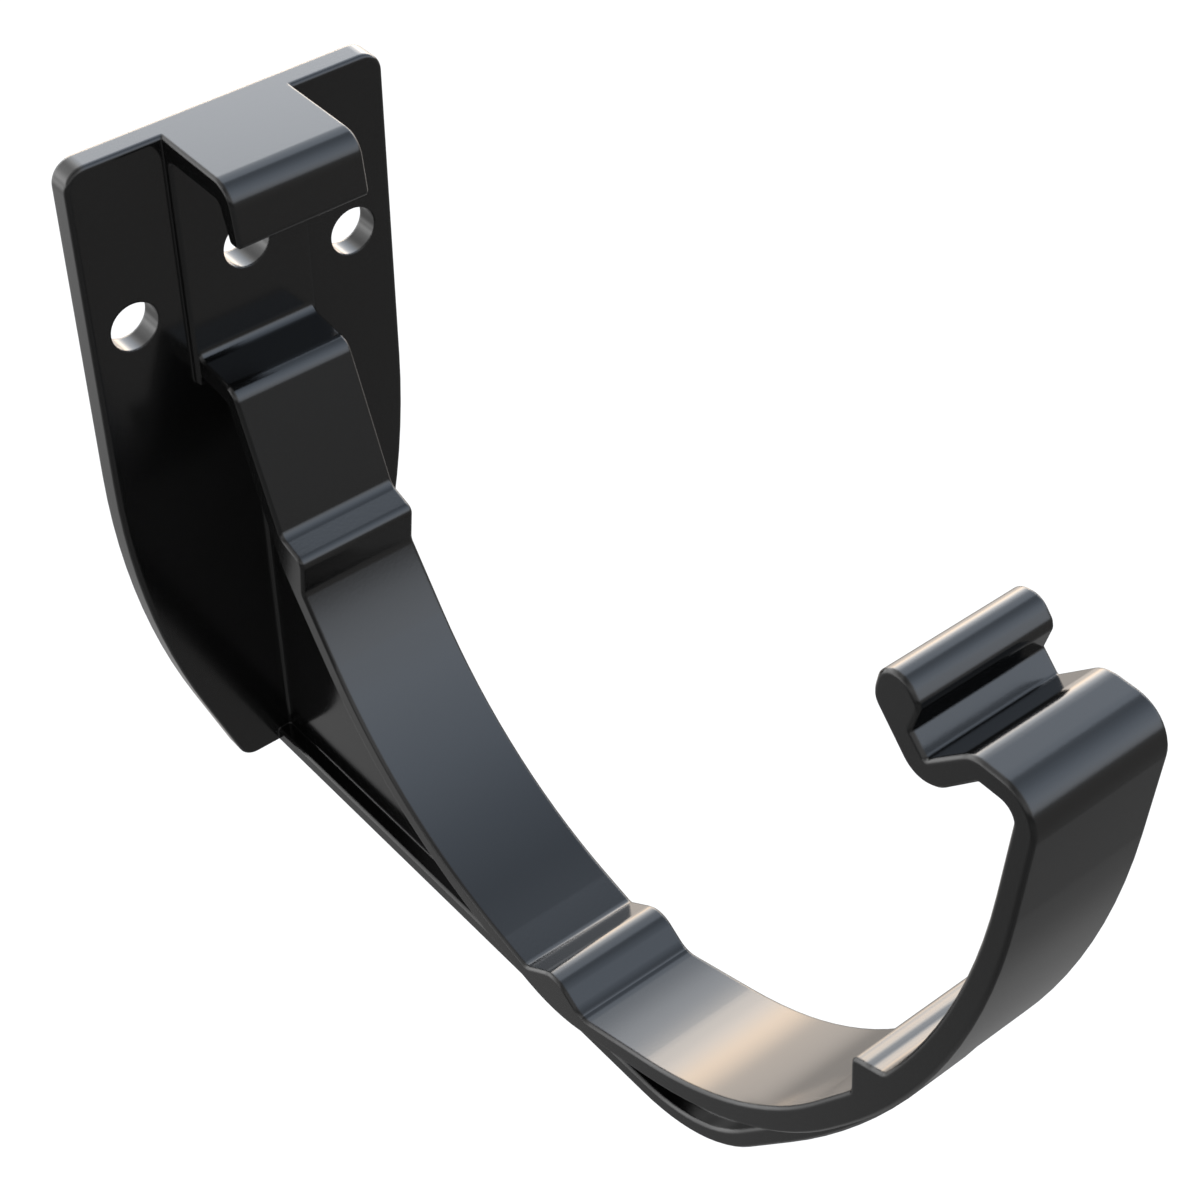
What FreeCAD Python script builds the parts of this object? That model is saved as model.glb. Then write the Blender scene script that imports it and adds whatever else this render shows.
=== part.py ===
import FreeCAD, Part
import math
import os

import Sketcher

# Gutter bracket moulded in one piece: a shield plate for the fascia, a hook and a J shaped strap that
# hold the gutter, a web and a keel under the strap, and a sprung clip for the gutter's front lip.
#
# Frame: X runs across the strap, Z is up and the plate's back face is the plane Y = 0. The bracket
# reaches out along -Y. The origin lies midway between the two side screw holes.

SIZES = {
    # plate
    "plate_width": 38.6,
    "plate_wall": 2.8,
    "plate_top": 20.9,
    "plate_corner": 2.6,
    "wing_drop": 39.4,
    "wing_round": 110.0,
    "foot_drop": 70.3,
    "foot_width": 15.5,
    "foot_round": 2.4,
    "plate_edge": 0.5,
    # screw holes
    "screw_hole": 5.8,
    "screw_spacing": 28.0,
    "middle_screw_rise": 5.0,
    # strap
    "strap_width": 15.1,
    "strap_wall": 2.5,
    "floor_wall": 2.1,
    "sweep_wall": 3.0,
    "strap_edge": 0.3,
    # raised panel on the plate, and the hook over the gutter's back edge that grows from its top
    "panel_width": 15.9,
    "panel_proud": 0.9,
    "panel_drop": 10.4,
    "hook_wall": 2.6,
    "hook_reach": 13.3,
    "hook_drop": 6.95,
    "hook_lean": 1.1,
    "hook_round": 2.9,
    "lip_wall": 1.9,
    "lip_draft": 1.4,
    "lip_round": 0.7,
    # shelf, neck and the ledge under the gutter's back
    "shelf_drop": 6.9,
    "shelf_fall": 0.55,
    "shelf_reach": 7.5,
    "shelf_root": 1.2,
    "shelf_strip": 2.5,
    "shelf_round": 2.2,
    "neck_reach": 14.3,
    "neck_drop": 23.7,
    "neck_flare": 1.5,
    "neck_back_round": 2.2,
    "ledge_reach": 18.15,
    "ledge_fall": 1.15,
    "ledge_face": 4.85,
    "ledge_cut": 0.5,
    "ledge_round": 1.2,
    "ledge_root": 1.0,
    # the curve that carries the gutter, as the corners of its tangents
    "back_bend_reach": 34.25,
    "back_bend_drop": 52.05,
    "back_bend_round": 50.0,
    "floor_drop": 57.95,
    "floor_round": 18.0,
    "front_bend_back": 25.95,
    "front_bend_drop": 47.4,
    "front_bend_round": 48.0,
    "rise_reach": 117.7,
    "rise_lean": 1.7,
    "rise_bend_drop": 11.55,
    "rise_round": 80.0,
    "rise_wall": 2.3,
    # rib across the curve's lowest place, measured on from the back bend
    "rib_ahead": 27.65,
    "rib_drop": 53.3,
    "rib_back": 5.0,
    "rib_front": 4.6,
    "rib_round": 3.2,
    "rib_back_root": 0.9,
    "rib_front_root": 2.6,
    # stop near the front of the curve
    "stop_back": 13.0,
    "stop_front": 6.6,
    "stop_drop": 22.8,
    "stop_slope": 2.36,
    "stop_lean": 0.58,
    "stop_face": 6.8,
    "stop_round": 1.0,
    "stop_root": 1.5,
    # clip over the gutter's front lip, measured back and down from the rise
    "clip_top": 23.0,
    "clip_round": 4.0,
    "clip_inner_round": 1.5,
    "clip_flat": 3.85,
    "clip_flat_round": 0.75,
    "clip_dip": 8.0,
    "clip_dip_back": 9.15,
    "clip_dip_round": 3.1,
    "valley_depth": 4.2,
    "valley_back": 9.15,
    "shoulder_back": 4.9,
    "shoulder_round": 3.0,
    "bulb_back": 15.35,
    "bulb_low": 1.75,
    "bulb_low_round": 2.0,
    "bulb_high": 4.8,
    "bulb_lean": 0.95,
    "bulb_round": 2.2,
    "bulb_nose_back": 10.25,
    "bulb_nose_high": 0.4,
    "bulb_nose_round": 1.2,
    "bulb_notch_back": 10.95,
    "bulb_notch_low": 2.5,
    # web and keel under the strap
    "web_wall": 2.0,
    "keel_width": 5.8,
    "keel_wall": 2.1,
    "keel_rise": 2.4,
    "keel_bend_back": 35.75,
    "keel_bend_round": 22.0,
    "keel_front_back": 9.0,
    "keel_front_drop": 33.8,
    "keel_front_round": 118.0,
    "keel_end_drop": 2.5,
    "keel_end_inset": 0.4,
    "keel_edge": 0.3,
    "web_root": 0.5,
}

SMALL_ROUND = 0.2
HALF = 0.5
# the web ends inside the rise at this share of the clip's height
WEB_TIP = 0.75
# how far the web's flare reaches along the plate, as a share of its radius
ROOT_SPREAD = 1.2
# the holes' cutters are this many walls long
HOLE_SPARE = 4
# distances within which an edge counts as lying in a plane, and as belonging to the stop
SLACK = 1e-3
STOP_NEAR = 2.5
STOP_FAR = 6.0


class Size:
    """A length: its number now, and the sheet expression that it is worked out from."""

    def __init__(self, number, text):
        self.number = number
        self.text = text

    def __add__(self, other):
        other = as_size(other)
        return Size(self.number + other.number, "(%s + %s)" % (self.text, other.text))

    def __sub__(self, other):
        other = as_size(other)
        return Size(self.number - other.number, "(%s - %s)" % (self.text, other.text))

    def __mul__(self, other):
        other = as_size(other)
        return Size(self.number * other.number, "%s * %s" % (self.text, other.text))

    def __neg__(self):
        return Size(-self.number, "(0 - %s)" % self.text)

    __radd__ = __add__
    __rmul__ = __mul__


def as_size(value):
    if isinstance(value, Size):
        return value
    return Size(float(value), "%g" % value)


def fill_sheet(doc):
    sheet = doc.addObject("Spreadsheet::Sheet", "Sizes")
    for row, (name, number) in enumerate(SIZES.items(), start=1):
        sheet.set("A%d" % row, name)
        sheet.set("B%d" % row, "%g" % number)
        sheet.setAlias("B%d" % row, name)
    doc.recompute()
    return {name: Size(float(sheet.get(name)), "Sizes." + name) for name in SIZES}


def bind(feature, name, size):
    feature.setExpression(name, as_size(size).text)


# Outlines
# An outline is a list of corners joined by straight lines. A corner's place is fixed by two of: u=,
# v= (sketch coordinates) and beside= (a guide's name and how far the corner lies to its left).


class Corner:
    """A place in a sketch, its rounding, and the name of the guide that starts there."""

    def __init__(self, u=None, v=None, beside=(), rounded=None, line=None):
        self.u = None if u is None else as_size(u)
        self.v = None if v is None else as_size(v)
        self.beside = [(name, as_size(gap)) for name, gap in beside]
        self.rounded = rounded if rounded is None else as_size(rounded)
        self.line = line


def rounded_at(corner, amount):
    """The same place as a rounded corner."""
    return Corner(corner.u, corner.v, rounded=amount)


def meet(first, second):
    """The point that lies on two lines, each given as (a, b, c) with a*u + b*v = c."""
    a, b, c = first
    d, e, f = second
    determinant = a * e - b * d
    return (c * e - b * f) / determinant, (a * f - c * d) / determinant


def beside_line(ends, gap):
    """The line that runs at gap to the left of the line between two points."""
    (u0, v0), (u1, v1) = ends
    length = math.hypot(u1 - u0, v1 - v0)
    a = -(v1 - v0) / length
    b = (u1 - u0) / length
    return a, b, a * u0 + b * v0 + gap


class Outline:
    """Draws guides and rounded outlines in one sketch, each corner bound to the sizes."""

    def __init__(self, sketch):
        self.sketch = sketch
        self.lines = {}
        self.ends = {}
        self.constraints = []
        self.sizes = []

    def constrain(self, *what, size=None):
        self.constraints.append(Sketcher.Constraint(*what))
        self.sizes.append(size)

    def settle(self):
        """Adds the gathered constraints in one go and binds their sizes."""
        indices = self.sketch.addConstraint(self.constraints)
        for index, size in zip(indices, self.sizes):
            if size is not None:
                self.sketch.setExpression("Constraints[%d]" % index, size.text)

    def place_number(self, corner):
        known = [beside_line(self.ends[name], gap.number) for name, gap in corner.beside]
        if corner.u is not None:
            known.append((1.0, 0.0, corner.u.number))
        if corner.v is not None:
            known.append((0.0, 1.0, corner.v.number))
        return meet(known[0], known[1])

    def hold(self, geometry, point, corner):
        """Constrains one point of the sketch to the corner's place."""
        place = self.place_number(corner)
        for axis, size, number in (("DistanceX", corner.u, place[0]), ("DistanceY", corner.v, place[1])):
            if size is None:
                continue
            if abs(number) < 1e-9:
                other = -2 if axis == "DistanceX" else -1
                self.constrain("PointOnObject", geometry, point, other)
            else:
                self.constrain(axis, -1, 1, geometry, point, number, size=size)
        for name, gap in corner.beside:
            if gap.number == 0:
                self.constrain("PointOnObject", geometry, point, self.lines[name])
            else:
                self.constrain("Distance", geometry, point, self.lines[name], gap.number, size=gap)

    def guide(self, corners):
        """A chain of straight construction lines, named by the corner where each begins."""
        places = [self.place_number(corner) for corner in corners]
        last = None
        for corner, start, end in zip(corners, places, places[1:]):
            line = self.sketch.addGeometry(self.segment(start, end), True)
            if last is not None:
                self.constrain("Coincident", last, 2, line, 1)
            self.hold(line, 1, corner)
            self.lines[corner.line] = line
            self.ends[corner.line] = (start, end)
            last = line
        self.hold(last, 2, corners[-1])

    def segment(self, start, end):
        return Part.LineSegment(FreeCAD.Vector(*start, 0), FreeCAD.Vector(*end, 0))

    def draw(self, corners):
        """A closed outline through the corners, with an arc at each corner that is rounded."""
        places = [self.place_number(corner) for corner in corners]
        count = len(corners)
        turns = [self.turn(places[i - 1], places[i], places[(i + 1) % count], corners[i].rounded)
                 for i in range(count)]
        segments = []
        for i in range(count):
            start = turns[i]["leave"]
            end = turns[(i + 1) % count]["arrive"]
            segments.append(self.sketch.addGeometry(self.segment(start, end), False))
        for i, corner in enumerate(corners):
            before = segments[i - 1]
            after = segments[i]
            if corner.rounded is None:
                self.constrain("Coincident", before, 2, after, 1)
                self.hold(after, 1, corner)
                continue
            turn = turns[i]
            arc = self.sketch.addGeometry(turn["arc"], False)
            first, second = (1, 2) if turn["left"] else (2, 1)
            self.constrain("Tangent", before, 2, arc, first)
            self.constrain("Tangent", arc, second, after, 1)
            self.constrain("Radius", arc, corner.rounded.number, size=corner.rounded)
            apex = self.sketch.addGeometry(Part.Point(FreeCAD.Vector(*places[i], 0)), True)
            self.constrain("PointOnObject", apex, 1, before)
            self.constrain("PointOnObject", apex, 1, after)
            self.hold(apex, 1, corner)
        self.settle()

    def turn(self, before, corner, after, rounded):
        """Where a corner's arc starts and ends, and the arc itself."""
        if rounded is None:
            return {"arrive": corner, "leave": corner}
        radius = rounded.number
        into = math.atan2(corner[1] - before[1], corner[0] - before[0])
        away = math.atan2(after[1] - corner[1], after[0] - corner[0])
        bend = math.remainder(away - into, 2 * math.pi)
        reach = radius * math.tan(abs(bend) / 2)
        arrive = (corner[0] - reach * math.cos(into), corner[1] - reach * math.sin(into))
        leave = (corner[0] + reach * math.cos(away), corner[1] + reach * math.sin(away))
        left = bend > 0
        side = 1 if left else -1
        centre = FreeCAD.Vector(arrive[0] - side * radius * math.sin(into),
                                arrive[1] + side * radius * math.cos(into), 0)
        circle = Part.Circle(centre, FreeCAD.Vector(0, 0, 1), radius)
        start = into - side * math.pi / 2
        end = away - side * math.pi / 2
        if left:
            arc = Part.ArcOfCircle(circle, start, start + abs(bend))
        else:
            arc = Part.ArcOfCircle(circle, end, end + abs(bend))
        return {"arrive": arrive, "leave": leave, "arc": arc, "left": left}


# Features


def new_sketch(body, name, plane):
    sketch = body.newObject("Sketcher::SketchObject", name)
    origin = [item for item in body.Origin.OriginFeatures if item.Role == plane][0]
    sketch.AttachmentSupport = (origin, [""])
    sketch.MapMode = "FlatFace"
    return sketch


def pad(body, sketch, name, length, symmetric):
    feature = body.newObject("PartDesign::Pad", name)
    feature.Profile = sketch
    bind(feature, "Length", length)
    if symmetric:
        feature.SideType = "Symmetric"
    sketch.Document.recompute()
    return feature


def dress_edges(body, base, kind, name, amount, wanted):
    """Rounds (kind "Fillet") or bevels (kind "Chamfer") the edges of base for which wanted says yes."""
    edges = ["Edge%d" % i for i, edge in enumerate(base.Shape.Edges, start=1) if wanted(edge)]
    feature = body.newObject("PartDesign::" + kind, name)
    feature.Base = (base, edges)
    bind(feature, "Radius" if kind == "Fillet" else "Size", amount)
    body.Document.recompute()
    return feature


def lies_in_plane(edge, axis, place):
    box = edge.BoundBox
    low = getattr(box, axis + "Min")
    high = getattr(box, axis + "Max")
    return abs(low - place) < SLACK and abs(high - place) < SLACK


def bevel_sides(body, base, name, amount, width):
    """Bevels the edges of the two side faces of a solid that is padded to width about the middle."""
    half = width.number / 2
    return dress_edges(body, base, "Chamfer", name, amount,
                       lambda edge: any(lies_in_plane(edge, "X", place) for place in (-half, half)))


def mirrored(corners):
    """The corners again on the other side of the middle, in reverse order."""
    return [Corner(-corner.u, corner.v, rounded=corner.rounded) for corner in reversed(corners)]


def build_plate(doc, s):
    """The shield plate: straight beside the holes, then swept in to a narrow foot."""
    body = doc.addObject("PartDesign::Body", "PlateBody")
    sketch = new_sketch(body, "PlateOutline", "XZ_Plane")
    half = s["plate_width"] * HALF
    right = [
        Corner(half, s["plate_top"], rounded=s["plate_corner"]),
        Corner(half, -s["wing_drop"], rounded=s["wing_round"]),
        Corner(s["foot_width"] * HALF, -s["foot_drop"], rounded=s["foot_round"]),
    ]
    Outline(sketch).draw(right + mirrored(right))
    plate = pad(body, sketch, "PlatePad", s["plate_wall"], False)
    front = -s["plate_wall"].number
    dress_edges(body, plate, "Fillet", "PlateEdges", s["plate_edge"],
                lambda edge: lies_in_plane(edge, "Y", front))
    return body


def build_hook(doc, s):
    """The raised panel on the plate, and the hook that reaches out from its top."""
    body = doc.addObject("PartDesign::Body", "HookBody")
    sketch = new_sketch(body, "HookProfile", "YZ_Plane")
    front = -s["plate_wall"]
    top = s["plate_top"]
    reach = front - s["hook_reach"]
    panel = front - s["panel_proud"]
    Outline(sketch).draw([
        Corner(front * HALF, top),
        Corner(reach + s["hook_lean"], top, rounded=s["hook_round"]),
        Corner(reach, top - s["hook_drop"], rounded=s["lip_round"]),
        Corner(reach + s["lip_wall"], top - s["hook_drop"], rounded=s["lip_round"]),
        Corner(reach + s["lip_wall"] + s["lip_draft"], top - s["hook_wall"], rounded=s["lip_round"]),
        Corner(panel, top - s["hook_wall"], rounded=s["lip_round"]),
        Corner(panel, -s["panel_drop"]),
        Corner(front * HALF, -s["panel_drop"]),
    ])
    hook = pad(body, sketch, "HookPad", s["panel_width"], True)
    bevel_sides(body, hook, "HookEdges", s["strap_edge"], s["panel_width"])
    return body


def neck_line(s):
    """The corners of the strap's gutter side from the panel down to the ledge."""
    front = -s["plate_wall"]
    return [
        Corner(front - s["panel_proud"], -s["shelf_drop"], line="shelf"),
        Corner(front - s["shelf_reach"], -s["shelf_drop"] - s["shelf_fall"], line="neck"),
        Corner(front - s["neck_reach"], -s["neck_drop"]),
    ]


def curve_line(s):
    """The corners of the curve's gutter side, from under the ledge to the top of the rise."""
    front = -s["plate_wall"]
    rise = front - s["rise_reach"]
    ledge_foot = -s["neck_drop"] - s["ledge_fall"] - s["ledge_face"]
    return [
        Corner(front - s["ledge_reach"] + s["ledge_cut"], ledge_foot, line="fall"),
        Corner(front - s["back_bend_reach"], -s["back_bend_drop"], line="back floor"),
        Corner(front - s["back_bend_reach"] - s["rib_ahead"], -s["floor_drop"], line="front floor"),
        Corner(rise + s["front_bend_back"], -s["front_bend_drop"], line="sweep"),
        Corner(rise + s["rise_lean"], -s["rise_bend_drop"], line="rise"),
        Corner(rise, s["clip_top"] - s["rise_wall"]),
    ]


def build_strap(doc, s):
    """Shelf, neck, ledge, curve, rib, rise and clip drawn as one side profile, and the stop."""
    body = doc.addObject("PartDesign::Body", "StrapBody")
    sketch = new_sketch(body, "StrapProfile", "YZ_Plane")
    front = -s["plate_wall"]
    rise = front - s["rise_reach"]
    clip = s["clip_top"]
    shelf, neck, flare = neck_line(s)
    fall, back_bend, low, front_bend, rise_bend, rise_top = curve_line(s)
    strip_top = -s["shelf_drop"] + s["shelf_strip"]
    strap = Outline(sketch)
    strap.guide([shelf, neck, flare])
    strap.guide([fall, back_bend, low, front_bend, rise_bend, rise_top])
    strap.draw([
        Corner(front * HALF, strip_top),
        Corner(shelf.u, strip_top),
        rounded_at(shelf, s["shelf_root"]),
        rounded_at(neck, s["shelf_round"]),
        rounded_at(flare, s["neck_flare"]),
        Corner(front - s["ledge_reach"], -s["neck_drop"] - s["ledge_fall"], rounded=s["ledge_round"]),
        rounded_at(fall, s["ledge_root"]),
        rounded_at(back_bend, s["back_bend_round"]),
        Corner(u=low.u + s["rib_back"], beside=[("back floor", 0)], rounded=s["rib_back_root"]),
        Corner(low.u, -s["rib_drop"], rounded=s["rib_round"]),
        Corner(u=low.u - s["rib_front"], beside=[("front floor", 0)], rounded=s["rib_front_root"]),
        rounded_at(front_bend, s["front_bend_round"]),
        rounded_at(rise_bend, s["rise_round"]),
        rounded_at(rise_top, s["clip_inner_round"]),
        Corner(rise + s["clip_flat"], rise_top.v, rounded=s["clip_flat_round"]),
        Corner(rise + s["clip_dip_back"], clip - s["clip_dip"], rounded=s["clip_dip_round"]),
        Corner(rise + s["bulb_back"], clip - s["bulb_low"], rounded=s["bulb_low_round"]),
        Corner(rise + s["bulb_back"] - s["bulb_lean"], clip + s["bulb_high"], rounded=s["bulb_round"]),
        Corner(rise + s["bulb_nose_back"], clip + s["bulb_nose_high"], rounded=s["bulb_nose_round"]),
        Corner(rise + s["bulb_notch_back"], clip - s["bulb_notch_low"], rounded=SMALL_ROUND),
        Corner(rise + s["valley_back"], clip - s["valley_depth"], rounded=SMALL_ROUND),
        Corner(rise + s["shoulder_back"], clip, rounded=s["shoulder_round"]),
        Corner(v=clip, beside=[("rise", s["rise_wall"])], rounded=s["clip_round"]),
        Corner(beside=[("rise", s["rise_wall"]), ("sweep", s["sweep_wall"])],
               rounded=s["rise_round"] + s["sweep_wall"]),
        Corner(beside=[("sweep", s["sweep_wall"]), ("front floor", s["sweep_wall"])],
               rounded=s["front_bend_round"] + s["sweep_wall"]),
        Corner(beside=[("front floor", s["floor_wall"]), ("back floor", s["floor_wall"])],
               rounded=s["floor_round"]),
        Corner(beside=[("back floor", s["strap_wall"]), ("fall", s["strap_wall"])],
               rounded=s["back_bend_round"] + s["strap_wall"]),
        Corner(beside=[("fall", s["strap_wall"]), ("neck", s["strap_wall"])],
               rounded=s["neck_back_round"]),
        Corner(beside=[("neck", s["strap_wall"]), ("shelf", s["strap_wall"])],
               rounded=s["shelf_root"]),
        Corner(u=front * HALF, beside=[("shelf", s["strap_wall"])]),
    ])
    pad(body, sketch, "StrapPad", s["strap_width"], True)
    stop_sketch = new_sketch(body, "StopProfile", "YZ_Plane")
    tip = rise + s["stop_back"]
    Outline(stop_sketch).draw([
        Corner(tip, -s["stop_drop"], rounded=s["stop_round"]),
        Corner(rise + s["stop_front"], -s["stop_drop"] + s["stop_slope"]),
        Corner(tip - s["stop_lean"], -s["stop_drop"] - s["stop_face"]),
    ])
    stop = pad(body, stop_sketch, "StopPad", s["strap_width"], True)
    width = s["strap_width"].number
    smooth = dress_edges(body, stop, "Fillet", "StopRoot", s["stop_root"],
                         lambda edge: is_stop_root(edge, tip.number, -s["stop_drop"].number, width))
    bevel_sides(body, smooth, "StrapEdges", s["strap_edge"], s["strap_width"])
    return body


def is_stop_root(edge, tip, top, width):
    """The two edges across the strap where the stop's top and back run into the curve."""
    box = edge.BoundBox
    across = abs(box.XLength - width) < SLACK and box.YLength < SLACK and box.ZLength < SLACK
    if not across:
        return False
    in_front = box.YMin < tip - STOP_NEAR and abs(box.ZMin - top) < STOP_NEAR
    below = abs(box.YMin - tip) < STOP_NEAR and box.ZMin < top - STOP_NEAR
    return (in_front or below) and math.hypot(box.YMin - tip, box.ZMin - top) < STOP_FAR


def keel_line(s):
    """The corners of the keel's underside, from where it fades into the rise back to the plate."""
    front = -s["plate_wall"]
    rise = front - s["rise_reach"]
    return [
        Corner(rise + s["keel_end_inset"], -s["keel_end_drop"], line="keel front"),
        Corner(rise + s["keel_front_back"], -s["keel_front_drop"],
               rounded=s["keel_front_round"], line="keel slope"),
        Corner(rise + s["keel_bend_back"], -s["foot_drop"] + s["keel_rise"],
               rounded=s["keel_bend_round"], line="keel floor"),
        Corner(front * HALF, -s["foot_drop"]),
    ]


def build_web(doc, s):
    """The web under the strap, and the keel along its lower edge."""
    body = doc.addObject("PartDesign::Body", "WebBody")
    rooted = s["plate_wall"] * -HALF
    keel = s["keel_wall"]
    keel_sketch = new_sketch(body, "KeelProfile", "YZ_Plane")
    keel_outline = Outline(keel_sketch)
    keel_outline.guide(keel_line(s))
    keel_outline.draw(keel_line(s) + [
        Corner(u=rooted, beside=[("keel floor", keel)]),
        Corner(beside=[("keel floor", keel), ("keel slope", keel)],
               rounded=s["keel_bend_round"] - keel),
        Corner(beside=[("keel slope", keel), ("keel front", keel)],
               rounded=s["keel_front_round"] - keel),
        Corner(v=-s["keel_end_drop"], beside=[("keel front", keel * HALF)]),
    ])
    keel_pad = pad(body, keel_sketch, "KeelPad", s["keel_width"], True)
    bevel_sides(body, keel_pad, "KeelEdges", s["keel_edge"], s["keel_width"])
    web_sketch = new_sketch(body, "WebProfile", "YZ_Plane")
    web = Outline(web_sketch)
    for chain in (neck_line(s), curve_line(s), keel_line(s)):
        web.guide(chain)
    deep = s["strap_wall"] * HALF
    floor = s["floor_wall"] * HALF
    rise = s["rise_wall"] * HALF
    low = keel * HALF
    web.draw([
        Corner(u=rooted, beside=[("shelf", deep)]),
        Corner(beside=[("shelf", deep), ("neck", deep)]),
        Corner(beside=[("neck", deep), ("fall", deep)]),
        Corner(beside=[("fall", deep), ("back floor", deep)], rounded=s["back_bend_round"] + deep),
        Corner(beside=[("back floor", floor), ("front floor", floor)], rounded=s["floor_round"]),
        Corner(beside=[("front floor", deep), ("sweep", deep)], rounded=s["front_bend_round"] + deep),
        Corner(beside=[("sweep", deep), ("rise", rise)], rounded=s["rise_round"] + deep),
        Corner(v=s["clip_top"] * WEB_TIP, beside=[("rise", rise)]),
        Corner(v=-s["keel_end_drop"], beside=[("keel front", low * HALF)]),
        Corner(beside=[("keel front", low), ("keel slope", low)], rounded=s["keel_front_round"] - low),
        Corner(beside=[("keel slope", low), ("keel floor", low)], rounded=s["keel_bend_round"] - low),
        Corner(u=rooted, beside=[("keel floor", low)]),
    ])
    pad(body, web_sketch, "WebPad", s["web_wall"], True)
    root_sketch = new_sketch(body, "WebRootProfile", "XY_Plane")
    side = s["web_wall"] * HALF
    front = -s["plate_wall"]
    flare = s["web_root"] * ROOT_SPREAD
    right = [
        Corner(side, front - flare),
        Corner(side, front, rounded=s["web_root"]),
        Corner(side + flare, front),
        Corner(side + flare, front * HALF),
    ]
    Outline(root_sketch).draw(right + mirrored(right))
    root = pad(body, root_sketch, "WebRootPad", s["foot_drop"] - low, False)
    root.Reversed = True
    doc.recompute()
    return body


def build_holes(doc, s):
    """The three screw holes: one in each wing and one in the panel, above them."""
    body = doc.addObject("PartDesign::Body", "HoleBody")
    sketch = new_sketch(body, "HoleCircles", "XZ_Plane")
    half = s["screw_spacing"] * HALF
    nothing = as_size(0)
    drawn = Outline(sketch)
    for across, up in ((-half, nothing), (half, nothing), (nothing, s["middle_screw_rise"])):
        centre = FreeCAD.Vector(across.number, up.number, 0)
        circle = Part.Circle(centre, FreeCAD.Vector(0, 0, 1), s["screw_hole"].number / 2)
        geometry = sketch.addGeometry(circle, False)
        drawn.hold(geometry, 3, Corner(across, up))
        drawn.constrain("Diameter", geometry, s["screw_hole"].number, size=s["screw_hole"])
    drawn.settle()
    pad(body, sketch, "HolePad", (s["plate_wall"] + s["panel_proud"]) * HOLE_SPARE, True)
    return body


def join(doc, solids, holes):
    """One moulding: the fused solids, pierced by the screw holes."""
    fused = doc.addObject("Part::MultiFuse", "Moulding")
    fused.Shapes = solids
    fused.Refine = True
    pierced = doc.addObject("Part::Cut", "Pierced")
    pierced.Base = fused
    pierced.Tool = holes
    doc.recompute()
    return pierced


def write_parts(nodes):
    os.makedirs("parts", exist_ok=True)
    for node in nodes:
        node.Shape.exportStep("parts/%s.step" % node.Label)


def check_document(doc, nodes):
    for item in doc.Objects:
        if "Invalid" in item.State or "Error" in item.State:
            raise RuntimeError("%s failed: %s" % (item.Name, item.State))
    for node in nodes:
        if node.Shape.isNull() or not node.Shape.isValid():
            raise RuntimeError("%s has no valid shape" % node.Label)


doc = FreeCAD.newDocument("GutterBracket")
s = fill_sheet(doc)
plate = build_plate(doc, s)
hook = build_hook(doc, s)
strap = build_strap(doc, s)
web = build_web(doc, s)
holes = build_holes(doc, s)
bracket = join(doc, [plate, hook, strap, web], holes)
bracket.Label = "gutter_bracket"
check_document(doc, [bracket])
write_parts([bracket])
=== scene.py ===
import math

import bpy
from mathutils import Matrix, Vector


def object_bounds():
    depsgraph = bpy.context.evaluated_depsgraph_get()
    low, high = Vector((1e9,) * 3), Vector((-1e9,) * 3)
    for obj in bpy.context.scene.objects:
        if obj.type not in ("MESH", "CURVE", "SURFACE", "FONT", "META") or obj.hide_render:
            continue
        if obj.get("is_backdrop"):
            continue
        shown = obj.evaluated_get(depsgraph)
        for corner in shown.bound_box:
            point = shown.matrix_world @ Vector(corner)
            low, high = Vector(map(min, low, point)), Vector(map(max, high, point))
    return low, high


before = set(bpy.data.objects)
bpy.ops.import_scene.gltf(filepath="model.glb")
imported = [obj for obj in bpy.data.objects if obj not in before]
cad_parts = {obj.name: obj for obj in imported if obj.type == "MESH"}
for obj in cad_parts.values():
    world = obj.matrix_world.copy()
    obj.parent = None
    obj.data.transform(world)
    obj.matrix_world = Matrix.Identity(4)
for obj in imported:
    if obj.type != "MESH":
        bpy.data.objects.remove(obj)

scene = bpy.context.scene
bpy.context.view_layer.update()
bpy.ops.object.select_all(action="DESELECT")
print("frame loaded")


# a shader value that can be added, compared and so on like a number

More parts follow.
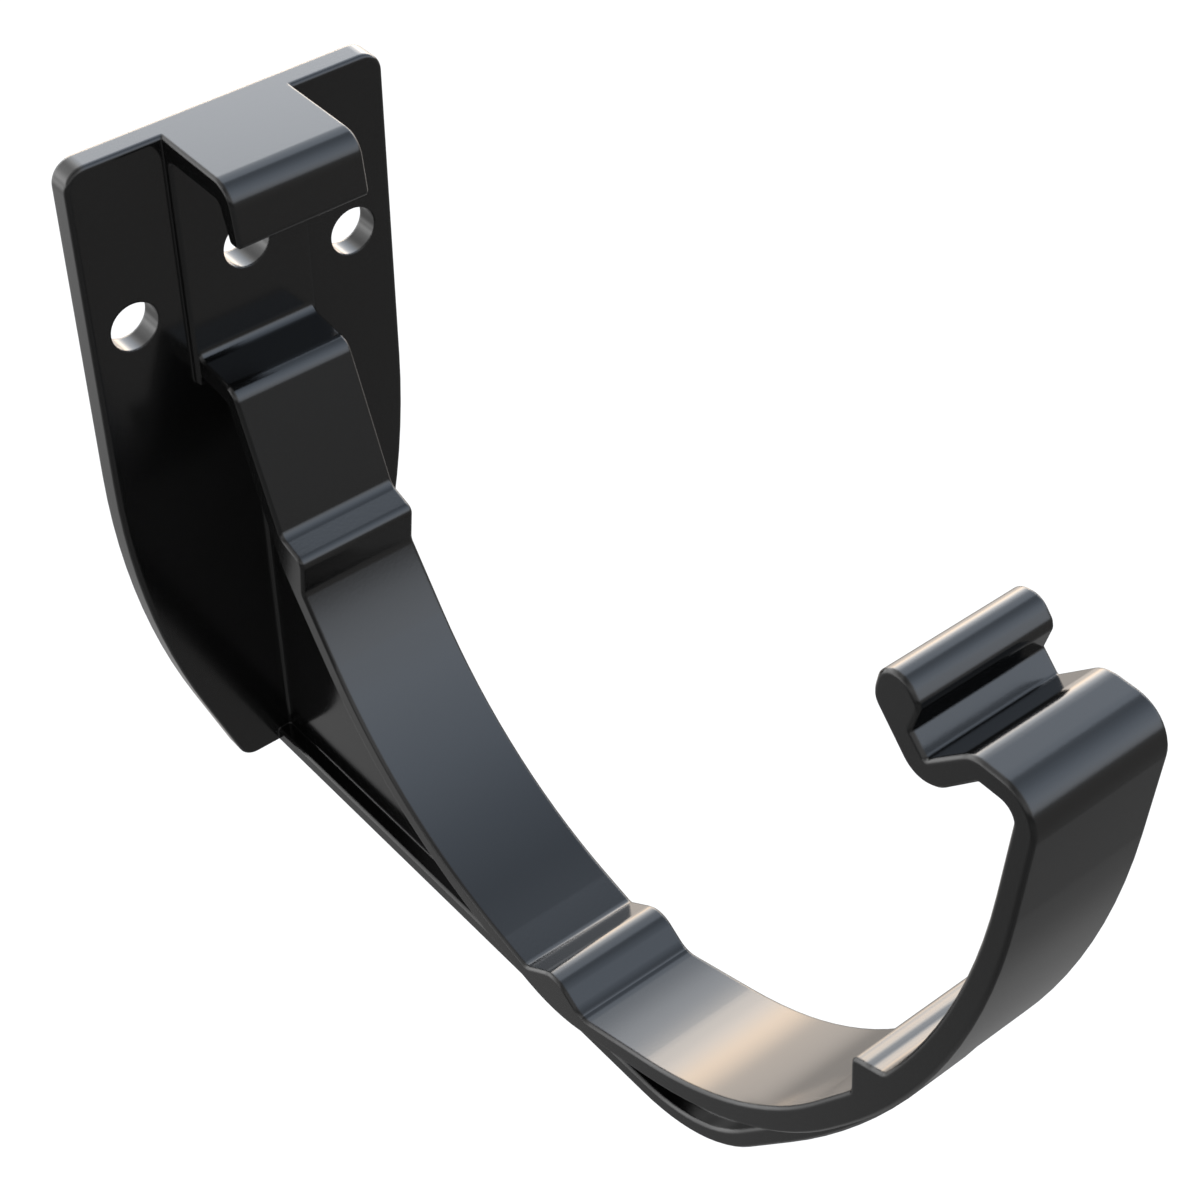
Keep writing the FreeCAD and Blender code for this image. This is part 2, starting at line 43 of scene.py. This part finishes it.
class Maths:
    def __init__(self, tree, socket=None):
        self.tree = tree
        self.socket = socket

    def feed(self, socket, value):
        # links the socket where the value is another socket, and else writes the value on it
        if isinstance(value, Maths):
            value = value.socket
        if isinstance(value, bpy.types.NodeSocket):
            self.tree.links.new(value, socket)
        else:
            socket.default_value = value

    def node(self, kind, inputs=(), stops=(), **settings):
        # adds any node: its settings and colour stops first, then its sockets as (name, value or link)
        new = self.tree.nodes.new(kind)
        for name, value in settings.items():
            setattr(new, name, value)
        if stops:
            elements = new.color_ramp.elements
            while len(elements) < len(stops):
                elements.new(0.5)
            for element, (position, colour) in zip(elements, stops):
                element.position = position
                element.color = colour
        for name, value in inputs:
            self.feed(new.inputs[name], value)
        return new

    def apply(self, operation, first, second):
        new = self.node("ShaderNodeMath", [(0, first), (1, second)], operation=operation)
        return Maths(self.tree, new.outputs[0])

    def __add__(self, other):
        return self.apply("ADD", self, other)

    def __sub__(self, other):
        return self.apply("SUBTRACT", self, other)

    def __rsub__(self, other):
        return self.apply("SUBTRACT", other, self)

    def __mul__(self, other):
        return self.apply("MULTIPLY", self, other)

    def __truediv__(self, other):
        return self.apply("DIVIDE", self, other)

    def __rtruediv__(self, other):
        return self.apply("DIVIDE", other, self)

    def __lt__(self, other):
        return self.apply("LESS_THAN", self, other)

    def __gt__(self, other):
        return self.apply("GREATER_THAN", self, other)

    __radd__ = __add__
    __rmul__ = __mul__

    def between(self, least, most):
        return (self > least) * (self < most)

    def ramp(self, start, end):
        # 0 before the start, 1 past the end, smooth between
        new = self.node("ShaderNodeMapRange", [("Value", self), ("From Min", start), ("From Max", end)],
                        interpolation_type="SMOOTHSTEP")
        return Maths(self.tree, new.outputs[0])

    def split(self, vector):
        parts = self.node("ShaderNodeSeparateXYZ", [("Vector", vector)]).outputs
        return {axis: Maths(self.tree, parts[axis]) for axis in "XYZ"}


# black moulded plastic, lengths in metres

plasticLook = {
    "colour": (0.0014, 0.0014, 0.0014, 1.0),
    "paler": (0.0024, 0.0024, 0.0024, 1.0),
    "roughness": 0.14,
    "roughnessSpread": 0.03,  # to either side
    "cloudScale": 60.0,       # soft clouds of the moulding, per metre
    "cloudDetail": 3.0,
    "grainScale": 2600.0,     # fine grain, per metre
    "grainStrength": 0.3,
    "grainDepth": 0.00001,
    "edgeRound": 0.00035,
    "edgeSamples": 6,
    "upFrom": 0.3,            # only faces that look up by this much bow
    "upTo": 0.5,
    # faces that bow a little in the mould, so that their gloss runs off: the bends as (place, degrees)
    # along the axis, and the stretch of depth (Y) and height (Z) that the face lies in
    "bows": {
        "fallUnderLedge": {"axis": "Z", "bends": [(-0.0372, 0.0), (-0.0293, 9.6)],
                           "depth": (-0.0300, -0.0180), "height": (-0.0380, -0.0290)},
        "floorBesideRib": {"axis": "Y", "bends": [(-0.0806, 0.0), (-0.0694, 15.5)],
                           "depth": (-0.0820, -0.0690), "height": (-0.0600, -0.0500)},
        "ribBack": {"axis": "Y", "bends": [(-0.0600, -4.0), (-0.0632, -4.0)],
                    "depth": (-0.0632, -0.0600), "height": (-0.0580, -0.0520)},
        "stopTop": {"axis": "Y", "bends": [(-0.1082, -1.0), (-0.1086, -6.0), (-0.1090, -4.5),
                                           (-0.1094, 4.5), (-0.1098, 7.0), (-0.1102, -3.5),
                                           (-0.1106, -6.0), (-0.1110, -2.0)],
                    "depth": (-0.1110, -0.1082), "height": (-0.0235, -0.0205)},
        "clipBulbFront": {"axis": "Z", "bends": [(0.0250, 0.0), (0.0205, 20.0)],
                          "depth": (-0.1112, -0.1070), "height": (0.0205, 0.0255)},
    },
}


def bowNormal(build, look, place, normal):
    # turns the normal about the object's width by the bend of each bowed face
    spot = build.split(place)
    facing = build.split(normal)
    front, up = facing["Y"], facing["Z"]
    turn = 0.0
    for bow in look["bows"].values():
        bend = 0.0
        for (first, low), (last, high) in zip(bow["bends"], bow["bends"][1:]):
            share = (spot[bow["axis"]] - first) / (last - first)
            inside = (share < 1.0) * (1.0 - (share < 0.0))
            bend = (share * (high - low) + low) * inside + bend
        turn = bend * spot["Y"].between(*bow["depth"]) * spot["Z"].between(*bow["height"]) + turn
    turn = turn * math.radians(1.0) * up.ramp(look["upFrom"], look["upTo"])
    bent = build.node("ShaderNodeCombineXYZ", [("X", facing["X"]), ("Y", front - up * turn),
                                               ("Z", up + front * turn)])
    return build.node("ShaderNodeVectorMath", [(0, bent.outputs[0])], operation="NORMALIZE").outputs[0]


def makePlastic(look):
    material = bpy.data.materials.new("blackMouldedPlastic")
    material.use_nodes = True
    build = Maths(material.node_tree)
    shader = material.node_tree.nodes["Principled BSDF"]
    place = build.node("ShaderNodeTexCoord").outputs["Object"]
    clouds = build.node("ShaderNodeTexNoise", [("Vector", place), ("Scale", look["cloudScale"]),
                                               ("Detail", look["cloudDetail"])])
    grain = build.node("ShaderNodeTexNoise", [("Vector", place), ("Scale", look["grainScale"])])
    cloud = Maths(material.node_tree, clouds.outputs["Fac"])
    tint = build.node("ShaderNodeMix", [("Factor", cloud), ("A", look["colour"]), ("B", look["paler"])],
                      data_type="RGBA")
    bevel = build.node("ShaderNodeBevel", [("Radius", look["edgeRound"])], samples=look["edgeSamples"])
    bowed = bowNormal(build, look, place, bevel.outputs["Normal"])
    bump = build.node("ShaderNodeBump", [("Height", grain.outputs["Fac"]), ("Normal", bowed),
                                         ("Strength", look["grainStrength"]),
                                         ("Distance", look["grainDepth"])])
    build.feed(shader.inputs["Base Color"], tint.outputs["Result"])
    build.feed(shader.inputs["Roughness"],
               (cloud - 0.5) * (2.0 * look["roughnessSpread"]) + look["roughness"])
    build.feed(shader.inputs["Normal"], bump.outputs["Normal"])
    return material


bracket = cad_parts["gutter_bracket"]
bracket.data.materials.clear()
bracket.data.materials.append(makePlastic(plasticLook))
print("plastic done")


# studio: white for the camera, and soft bands of light round the object's width for the gloss

studioLook = {
    "white": (1.0, 1.0, 1.0, 1.0),
    "floorDrop": 0.12,        # metres under the lowest point
    "floorSize": 8.0,         # metres
    "floorColour": (0.8, 0.8, 0.8, 1.0),
    "floorWhite": 0.8,        # share of plain white that the camera sees on the floor
    "cool": (0.88, 1.0, 1.17, 1.0),
    "warm": (1.24, 1.0, 0.78, 1.0),
    "brightest": 10.0,        # the light that a ramp value of 1 stands for
    "tintFrom": 0.05,         # the light has its tint only round the window, to the right
    "tintTo": 0.35,
    "leftDim": 0.55,          # how much weaker the light over the horizon is on the left
    "leftFrom": 0.32,
    "leftTo": -0.2,
    "horizonFrom": -0.25,
    "horizonTo": 0.05,
    # (degrees over the back horizon, with 90 overhead and 180 at the front, light, warmth)
    "bands": {
        "underFront": (-180.0, 0.44, 0.1),
        "underMiddle": (-150.0, 0.31, 0.1),
        "underDark": (-116.0, 0.20, 0.0),
        "underBack": (-96.0, 0.32, 0.0),
        "lowGap": (-70.0, 0.24, 0.0),
        "lowBack": (-46.0, 0.46, 0.3),
        "backFoot": (-28.0, 0.92, 0.35),
        "backRise": (-17.0, 2.30, 0.45),
        "backHorizon": (-4.0, 3.60, 0.5),
        "glowStart": (7.0, 8.20, 1.0),
        "glowEnd": (14.0, 8.60, 0.4),
        "windowTop": (24.0, 6.90, 0.1),
        "wallLow": (31.0, 5.05, -0.35),
        "wallStep": (37.0, 4.85, -0.4),
        "wallMiddle": (45.0, 3.20, -0.6),
        "wallHigh": (53.0, 2.60, -0.85),
        "ceilingEdge": (76.0, 2.55, -1.0),
        "ceilingDark": (81.0, 1.15, -1.1),
        "overhead": (92.0, 1.08, -1.2),
        "frontHigh": (108.0, 1.48, -1.2),
        "frontMiddle": (126.0, 2.12, -1.1),
        "frontWindow": (146.0, 2.62, -0.9),
        "frontLow": (158.0, 2.50, -0.6),
        "frontEdge": (165.0, 2.05, -0.5),
        "frontSill": (172.0, 0.50, 0.0),
    },
}


def bandStops(look):
    stops = []
    for angle, light, warmth in sorted(look["bands"].values()):
        tint = look["warm"] if warmth > 0.0 else look["cool"]
        amount = light / look["brightest"]
        colour = [amount * (1.0 + abs(warmth) * (part - 1.0)) for part in tint]
        stops.append((angle / 360.0 + 0.5, colour))
    return stops


def makeWorld(look):
    world = bpy.data.worlds.new("studioWorld")
    scene.world = world
    world.use_nodes = True
    world.node_tree.nodes.clear()
    build = Maths(world.node_tree)
    toward = build.split(build.node("ShaderNodeTexCoord").outputs["Generated"])
    side, back, up = toward["X"], toward["Y"], toward["Z"]
    turn = build.apply("ARCTAN2", up, back) / math.tau + 0.5
    bands = build.node("ShaderNodeValToRGB", [("Fac", turn)], bandStops(look)).outputs["Color"]
    plain = build.node("ShaderNodeRGBToBW", [("Color", bands)]).outputs[0]
    right = side.ramp(look["tintFrom"], look["tintTo"])
    tinted = build.node("ShaderNodeMix", [("Factor", right), ("A", plain), ("B", bands)],
                        data_type="RGBA")
    left = side.ramp(look["leftFrom"], look["leftTo"])
    dim = left * up.ramp(look["horizonFrom"], look["horizonTo"]) * look["leftDim"]
    soft = build.node("ShaderNodeBackground", [("Color", tinted.outputs["Result"]),
                                               ("Strength", (1.0 - dim) * look["brightest"])])
    white = build.node("ShaderNodeBackground", [("Color", look["white"]), ("Strength", 1.0)])
    seen = build.node("ShaderNodeLightPath").outputs["Is Camera Ray"]
    mixed = build.node("ShaderNodeMixShader", [(0, seen), (1, soft.outputs[0]), (2, white.outputs[0])])
    build.node("ShaderNodeOutputWorld", [("Surface", mixed.outputs[0])])


def makeFloor(look):
    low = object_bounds()[0].z
    bpy.ops.mesh.primitive_plane_add(size=look["floorSize"], location=(0.0, 0.0, low - look["floorDrop"]))
    floor = bpy.context.object
    floor.name = "studioFloor"
    floor.visible_glossy = False
    material = bpy.data.materials.new("floorWhite")
    material.use_nodes = True
    material.node_tree.nodes.clear()
    build = Maths(material.node_tree)
    matt = build.node("ShaderNodeBsdfDiffuse", [("Color", look["floorColour"])])
    white = build.node("ShaderNodeEmission", [("Color", look["white"]), ("Strength", 1.0)])
    path = build.node("ShaderNodeLightPath")
    seen = Maths(material.node_tree, path.outputs["Is Camera Ray"])
    mixed = build.node("ShaderNodeMixShader", [(0, seen * look["floorWhite"]), (1, matt.outputs[0]),
                                               (2, white.outputs[0])])
    build.node("ShaderNodeOutputMaterial", [("Surface", mixed.outputs[0])])
    floor.data.materials.append(material)
    floor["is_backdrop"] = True


makeWorld(studioLook)
makeFloor(studioLook)
print("studio done")


# camera at the photograph's place

view = {
    "place": (-0.10917, -0.19548, 0.15658),
    "azimuth": -39.50,        # degrees
    "elevation": 43.08,
    "roll": 0.292,
    "lens": 73.97,            # millimetres
    "sensor": 36.0,
    "nearest": 0.005,         # metres
    "farthest": 100.0,
}


def makeCamera(look):
    lens = bpy.data.cameras.new("photoCamera")
    lens.lens = look["lens"]
    lens.sensor_width = look["sensor"]
    lens.clip_start = look["nearest"]
    lens.clip_end = look["farthest"]
    camera = bpy.data.objects.new("photoCamera", lens)
    scene.collection.objects.link(camera)
    camera.location = look["place"]
    facing = Matrix.Identity(3)
    for angle, axis in [(look["azimuth"], "Z"), (90.0 - look["elevation"], "X"), (look["roll"], "Z")]:
        facing = facing @ Matrix.Rotation(math.radians(angle), 3, axis)
    camera.rotation_euler = facing.to_euler()
    scene.camera = camera
    scene.view_settings.view_transform = "Standard"


makeCamera(view)
print("camera done")
